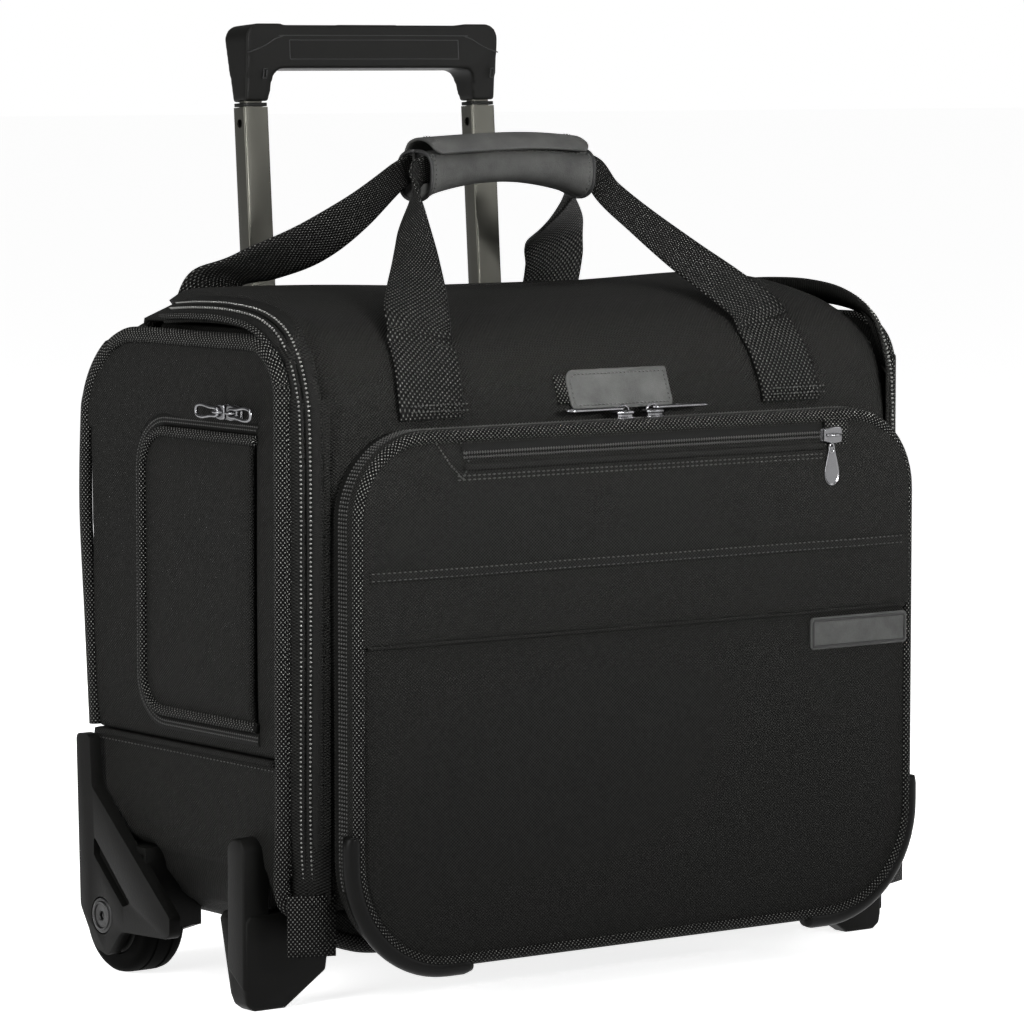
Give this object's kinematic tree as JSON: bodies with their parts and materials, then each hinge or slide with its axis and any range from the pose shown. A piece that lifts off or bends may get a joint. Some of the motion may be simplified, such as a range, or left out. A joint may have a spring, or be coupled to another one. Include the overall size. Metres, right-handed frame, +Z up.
{
  "type": "rolling flight case",
  "caption": "Soft rolling flight case with a zipped front-and-top lid, organiser panel, side pockets, wheels, telescopic pull handle and padded carry handle.",
  "frame": {"origin": "centre of the object's footprint box, on the ground that the wheels and feet stand on", "axes": "+X to the viewer's right across the case's width, +Y to the back where the wheels and pull handle are, +Z up"},
  "size_m": [0.4064, 0.259, 0.4802],
  "materials": {
    "ballistic_nylon": "black basket-weave ballistic nylon",
    "webbing": "ribbed black nylon webbing and braided binding",
    "nubuck": "charcoal nubuck with stitched edges",
    "moulded_plastic": "fine-textured dark grey moulding",
    "grip_plastic": "satin black moulding",
    "rubber_trim": "smooth black rubber",
    "tread": "black polyurethane tread",
    "anodised_aluminium": "olive-grey anodised extrusion",
    "steel": "plain steel",
    "zip_metal": "dark gunmetal plating",
    "stiffener": "polypropylene sheet"
  },
  "bodies": {
    "case": {"body_tub": "ballistic_nylon", "base_board": "stiffener", "back_board": "stiffener", "side_pocket_l": "ballistic_nylon", "side_pocket_r": "ballistic_nylon", "back_cover": "ballistic_nylon", "trolley_bezel": "grip_plastic", "trolley_foot_bracket": "moulded_plastic", "outer_tube_l": "anodised_aluminium", "outer_tube_r": "anodised_aluminium", "wheel_housing_l": "moulded_plastic", "wheel_housing_r": "moulded_plastic", "axle_bolt_l": "steel", "axle_bolt_r": "steel", "front_foot_l": "moulded_plastic", "front_foot_r": "moulded_plastic", "strap_rear": "webbing"},
    "lid": {"lid_front": "ballistic_nylon", "lid_top": "ballistic_nylon", "leather_patch": "nubuck", "strap_front": "webbing"},
    "organiser_panel": {"front_panel": "ballistic_nylon", "leather_badge": "nubuck", "corner_guard_l": "rubber_trim", "corner_guard_r": "rubber_trim"},
    "pocket_slider": {"pocket_slider": "zip_metal"},
    "pocket_puller": {"pocket_puller": "zip_metal"},
    "organiser_slider_l": {"organiser_slider_l": "zip_metal"},
    "organiser_slider_r": {"organiser_slider_r": "zip_metal"},
    "main_slider_l": {"main_slider_l": "zip_metal"},
    "main_slider_r": {"main_slider_r": "zip_metal"},
    "side_flap_l": {"side_flap_l": "ballistic_nylon"},
    "side_flap_r": {"side_flap_r": "ballistic_nylon"},
    "side_slider_l_front": {"side_slider_l_front": "zip_metal"},
    "side_slider_l_rear": {"side_slider_l_rear": "zip_metal"},
    "side_slider_r_front": {"side_slider_r_front": "zip_metal"},
    "side_slider_r_rear": {"side_slider_r_rear": "zip_metal"},
    "wheel_l": {"wheel_tyre_l": "tread", "wheel_hub_l": "moulded_plastic", "wheel_bush_l": "steel"},
    "wheel_r": {"wheel_tyre_r": "tread", "wheel_hub_r": "moulded_plastic", "wheel_bush_r": "steel"},
    "middle_stage": {"middle_tube_l": "anodised_aluminium", "middle_tube_r": "anodised_aluminium", "tube_collar_l": "grip_plastic", "tube_collar_r": "grip_plastic"},
    "grip_stage": {"inner_tube_l": "anodised_aluminium", "inner_tube_r": "anodised_aluminium", "grip_lower_shell": "grip_plastic", "grip_upper_shell": "grip_plastic", "button_spring": "steel"},
    "release_button": {"release_button": "moulded_plastic", "lock_crossbar": "steel", "lock_rod_l": "steel", "lock_rod_r": "steel"},
    "handle_front": {"wrap_front": "nubuck"},
    "handle_flap": {"wrap_flap": "nubuck"},
    "handle_rear": {"wrap_rear": "nubuck"}
  },
  "joints": [
    {"name": "lid_hinge", "type": "hinge", "parent": "case", "child": "lid", "pos_m": [0, -0.0891, 0.052], "axis": [1, 0, 0], "range_deg": [0, 70]},
    {"name": "organiser_hinge", "type": "hinge", "parent": "lid", "child": "organiser_panel", "pos_m": [0, -0.1075, 0.024], "axis": [1, 0, 0], "range_deg": [0, 45]},
    {"name": "pocket_zip", "type": "slide", "parent": "organiser_panel", "child": "pocket_slider", "axis": [1, 0, 0], "range_m": [-0.222, 0]},
    {"name": "pocket_pull_swing", "type": "hinge", "parent": "pocket_slider", "child": "pocket_puller", "pos_m": [0.118, -0.1278, 0.2648], "axis": [1, 0, 0], "range_deg": [-100, 0]},
    {"name": "organiser_zip_l", "type": "slide", "parent": "lid", "child": "organiser_slider_l", "axis": [1, 0, 0], "range_m": [-0.098, 0]},
    {"name": "organiser_zip_r", "type": "slide", "parent": "lid", "child": "organiser_slider_r", "axis": [1, 0, 0], "range_m": [0, 0.098]},
    {"name": "main_zip_l", "type": "slide", "parent": "case", "child": "main_slider_l", "axis": [1, 0, 0], "range_m": [-0.1, 0]},
    {"name": "main_zip_r", "type": "slide", "parent": "case", "child": "main_slider_r", "axis": [1, 0, 0], "range_m": [0, 0.1]},
    {"name": "side_flap_hinge_l", "type": "hinge", "parent": "case", "child": "side_flap_l", "pos_m": [-0.1955, -0.0646, 0.2085], "axis": [0, 0, 1], "range_deg": [0, 60]},
    {"name": "side_flap_hinge_r", "type": "hinge", "parent": "case", "child": "side_flap_r", "pos_m": [0.1955, -0.0646, 0.2085], "axis": [0, 0, -1], "range_deg": [0, 60]},
    {"name": "side_zip_l_rear", "type": "slide", "parent": "case", "child": "side_slider_l_rear", "axis": [0, 1, 0], "range_m": [0, 0.055]},
    {"name": "side_zip_l_front", "type": "slide", "parent": "case", "child": "side_slider_l_front", "axis": [0, 1, 0], "range_m": [-0.012, 0]},
    {"name": "wheel_spin_l", "type": "hinge", "parent": "case", "child": "wheel_l", "pos_m": [-0.1825, 0.0619, 0.03], "axis": [1, 0, 0], "continuous": true},
    {"name": "side_zip_r_rear", "type": "slide", "parent": "case", "child": "side_slider_r_rear", "axis": [0, 1, 0], "range_m": [0, 0.055]},
    {"name": "side_zip_r_front", "type": "slide", "parent": "case", "child": "side_slider_r_front", "axis": [0, 1, 0], "range_m": [-0.012, 0]},
    {"name": "wheel_spin_r", "type": "hinge", "parent": "case", "child": "wheel_r", "pos_m": [0.1825, 0.0619, 0.03], "axis": [1, 0, 0], "continuous": true},
    {"name": "middle_stage_slide", "type": "slide", "parent": "case", "child": "middle_stage", "axis": [0, 0.0698, 0.9976], "range_m": [-0.085, 0.15]},
    {"name": "grip_stage_slide", "type": "slide", "parent": "middle_stage", "child": "grip_stage", "axis": [0, 0.0698, 0.9976], "range_m": [0, 0.25]},
    {"name": "button_press", "type": "slide", "parent": "grip_stage", "child": "release_button", "axis": [0, 0.0698, 0.9976], "range_m": [-0.003, 0], "stiffness_N_per_m": 700, "springref_m": 0.0015, "deforming": ["button_spring"]},
    {"name": "handle_front_drop", "type": "slide", "parent": "lid", "child": "handle_front", "axis": [0, 0, 1], "range_m": [-0.044, 0], "deforming": ["strap_front"]},
    {"name": "handle_rear_drop", "type": "slide", "parent": "case", "child": "handle_rear", "axis": [0, 0, 1], "range_m": [-0.044, 0], "deforming": ["strap_rear"]},
    {"name": "handle_flap_hinge", "type": "hinge", "parent": "handle_front", "child": "handle_flap", "pos_m": [0, -0.0116, 0.4184], "axis": [1, 0, 0], "range_deg": [0, 100]}
  ],
  "couplings": [
    {"joint": "handle_rear_drop", "follows": "handle_front_drop", "ratio": 1}
  ]
}
